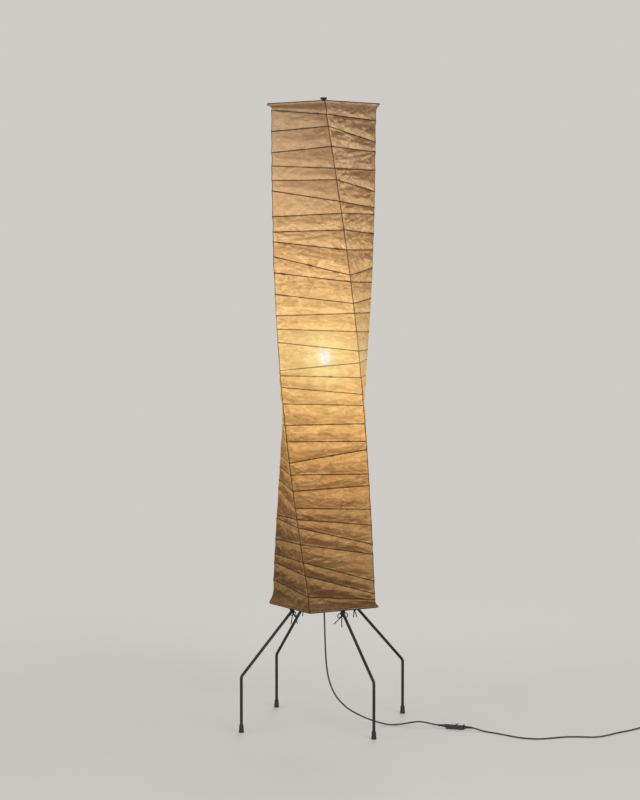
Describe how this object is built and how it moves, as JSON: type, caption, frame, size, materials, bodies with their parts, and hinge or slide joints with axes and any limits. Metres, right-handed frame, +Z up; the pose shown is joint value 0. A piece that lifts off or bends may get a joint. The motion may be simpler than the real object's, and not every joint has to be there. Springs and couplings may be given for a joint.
{
  "type": "paper floor lamp",
  "caption": "Tall twisted square lantern of wrinkled paper on bamboo ribs, on bent black wire legs, with a bulb inside and a floor cord with an in-line switch.",
  "frame": {"origin": "on the floor, on the lamp's axis, midway between the four feet", "axes": "+Z up along the lamp's axis; the feet stand on the diagonals of X and Y, and -Y is the front"},
  "size_m": [1.2767, 0.4304, 1.9301],
  "materials": {
    "black_steel": "satin black powder coat",
    "black_rubber": "matte",
    "black_string": "twisted cotton string",
    "brown_string": "thin cotton string",
    "zinc_steel": "zinc plated",
    "black_plastic": "fine matte moulding",
    "cord_cover": "smooth dark cable cover",
    "white_ceramic": "glazed",
    "black_glass": "gloss insulator",
    "brass": "bright",
    "frosted_glass": "frosted",
    "washi_paper": "wrinkled translucent washi",
    "bamboo": "split bamboo"
  },
  "bodies": {
    "stand": {"leg_front_right": "black_steel", "foot_front_right": "black_rubber", "tie_front_right": "black_string", "leg_back_right": "black_steel", "foot_back_right": "black_rubber", "tie_back_right": "black_string", "leg_back_left": "black_steel", "foot_back_left": "black_rubber", "tie_back_left": "black_string", "leg_front_left": "black_steel", "foot_front_left": "black_rubber", "tie_front_left": "black_string", "leg_hub": "black_steel", "leg_screws": "black_steel", "stem_lower": "black_steel", "stem_upper": "black_steel", "stem_coupling": "black_steel", "harp_saddle": "black_steel", "harp_bridge": "black_steel", "harp_wire_left": "black_steel", "harp_wire_right": "black_steel", "top_stud": "black_steel", "stem_nipple": "zinc_steel", "cord_gland": "black_plastic", "cord_drop": "cord_cover", "cord_floor": "cord_cover", "cord_coil": "cord_cover", "supply_lead": "cord_cover", "holder_cap": "black_plastic", "holder_shell": "black_plastic", "switch_base": "black_plastic", "switch_cover": "black_plastic", "plug_body": "black_plastic", "switch_screws": "zinc_steel", "holder_insulator": "white_ceramic", "holder_sleeve": "brass", "holder_contact": "brass", "plug_blades": "brass"},
    "shade": {"rim_top": "black_steel", "rim_bottom": "black_steel", "paper_right": "washi_paper", "string_right": "brown_string", "paper_back": "washi_paper", "string_back": "brown_string", "paper_left": "washi_paper", "string_left": "brown_string", "paper_front": "washi_paper", "string_front": "brown_string", "ribs_1": "bamboo", "ribs_2": "bamboo", "ribs_3": "bamboo", "ribs_4": "bamboo"},
    "finial": {"finial": "black_steel"},
    "bulb": {"bulb_tip": "brass", "bulb_disc": "black_glass", "bulb_cap": "brass", "bulb_glass": "frosted_glass"},
    "rocker": {"switch_rocker": "black_plastic"}
  },
  "joints": [
    {"name": "shade_lift", "type": "slide", "parent": "stand", "child": "shade", "axis": [0, 0, 1], "range_m": [0, 1.6]},
    {"name": "finial_turn", "type": "hinge", "parent": "shade", "child": "finial", "pos_m": [0, 0, 1.92], "axis": [0, 0, 1], "range_deg": [0, 1800]},
    {"name": "bulb_turn", "type": "hinge", "parent": "stand", "child": "bulb", "pos_m": [0, 0, 1.08], "axis": [0, 0, 1], "range_deg": [0, 900]},
    {"name": "rocker_tilt", "type": "hinge", "parent": "stand", "child": "rocker", "pos_m": [0.414, 0.006, 0.0115], "axis": [0.1392, 0.9903, 0], "range_deg": [0, 16]}
  ]
}
